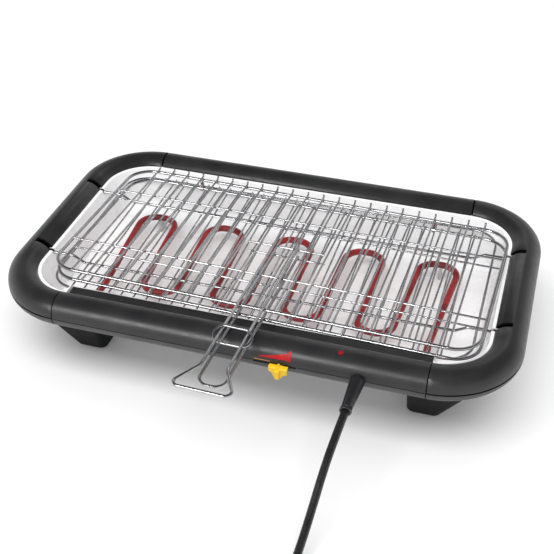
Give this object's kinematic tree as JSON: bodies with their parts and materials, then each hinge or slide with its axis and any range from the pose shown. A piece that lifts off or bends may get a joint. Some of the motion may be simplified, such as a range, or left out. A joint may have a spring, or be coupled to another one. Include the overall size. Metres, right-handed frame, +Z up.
{
  "type": "electric table grill",
  "caption": "Electric table grill: rounded black ring on feet, bright tray with a bare red element, base grill and a hinged wire basket with handles, slider heat control and cord.",
  "frame": {"origin": "bottom centre of the grill's box without its cord, on the floor plane under the foot pads", "axes": "+X along the ring's long side, to the right seen from the front; +Y to the back; +Z up. The handles and the cord point to -Y"},
  "size_m": [0.56, 0.7025, 0.1243],
  "materials": {
    "bushing_ceramic": null,
    "cord_moulding": "moulded black",
    "cord_rubber": "black sheath",
    "element_red": "red-hot look of the sheath",
    "foot_black": "matt moulded black",
    "foot_rubber": "matt",
    "inner_plastic": "moulded",
    "knob_yellow": "moulded yellow",
    "lamp_red": "clear red",
    "lead_plastic": "insulation",
    "lower_shell_black": "satin moulded black",
    "pin_brass": "turned",
    "rest_steel": "bent sheet",
    "screw_steel": "zinc plated",
    "tie_plastic": "black band",
    "tray_white": "bright pale coating",
    "upper_shell_black": "satin moulded black",
    "wire_chrome": "bright plated wire"
  },
  "bodies": {
    "base": {"back_lower": "lower_shell_black", "back_upper": "upper_shell_black", "cord_coil": "cord_rubber", "cord_tail": "cord_rubber", "cord_tie": "tie_plastic", "drip_tray": "tray_white", "element_bushing_left": "bushing_ceramic", "element_bushing_right": "bushing_ceramic", "element_rest_1": "rest_steel", "element_rest_2": "rest_steel", "element_rest_3": "rest_steel", "foot_back_left": "foot_black", "foot_back_right": "foot_black", "foot_front_left": "foot_black", "foot_front_right": "foot_black", "foot_pad_back_left": "foot_rubber", "foot_pad_back_right": "foot_rubber", "foot_pad_front_left": "foot_rubber", "foot_pad_front_right": "foot_rubber", "front_lower_shell": "lower_shell_black", "front_panel": "upper_shell_black", "heating_element": "element_red", "lead_left": "lead_plastic", "lead_right": "lead_plastic", "left_end_lower": "lower_shell_black", "left_end_upper": "upper_shell_black", "pilot_lamp_body": "inner_plastic", "pilot_lamp_lens": "lamp_red", "plug_body": "cord_moulding", "plug_pin_1": "pin_brass", "plug_pin_2": "pin_brass", "plug_pin_3": "pin_brass", "power_cord": "cord_rubber", "regulator_body": "inner_plastic", "right_end_lower": "lower_shell_black", "right_end_upper": "upper_shell_black", "shell_screw_1": "screw_steel", "shell_screw_2": "screw_steel", "shell_screw_3": "screw_steel", "shell_screw_4": "screw_steel", "shell_screw_5": "screw_steel", "shell_screw_6": "screw_steel", "shell_screw_7": "screw_steel", "shell_screw_8": "screw_steel", "shell_screw_9": "screw_steel", "strain_relief": "cord_moulding", "terminal_block": "inner_plastic", "terminal_pin_left": "pin_brass", "terminal_pin_right": "pin_brass"},
    "slider": {"slider_knob": "knob_yellow", "slider_stem": "inner_plastic"},
    "base_grill": {"base_grill": "wire_chrome"},
    "basket_lower": {"basket_lower_grid": "wire_chrome", "lower_handle": "wire_chrome"},
    "basket_upper": {"basket_upper_grid": "wire_chrome", "upper_handle": "wire_chrome", "hinge_eye_left": "wire_chrome", "hinge_eye_right": "wire_chrome"},
    "lock_ring": {"lock_ring": "wire_chrome"}
  },
  "joints": [
    {"name": "slider_slide", "type": "slide", "parent": "base", "child": "slider", "axis": [1, 0, 0], "range_m": [-0.0232, 0.0133]},
    {"name": "grill_lift", "type": "slide", "parent": "base", "child": "base_grill", "axis": [0, 0, 1], "range_m": [0, 0.15]},
    {"name": "basket_lift", "type": "slide", "parent": "base_grill", "child": "basket_lower", "axis": [0, 0, 1], "range_m": [0, 0.15]},
    {"name": "basket_hinge", "type": "hinge", "parent": "basket_lower", "child": "basket_upper", "pos_m": [0.01488, 0.14519, 0.09668], "axis": [-0.9996, 0.0297, 0], "range_deg": [0, 90]},
    {"name": "ring_slide", "type": "slide", "parent": "basket_upper", "child": "lock_ring", "axis": [-0.0296, -0.9991, 0.0304], "range_m": [-0.04, 0.036]}
  ]
}
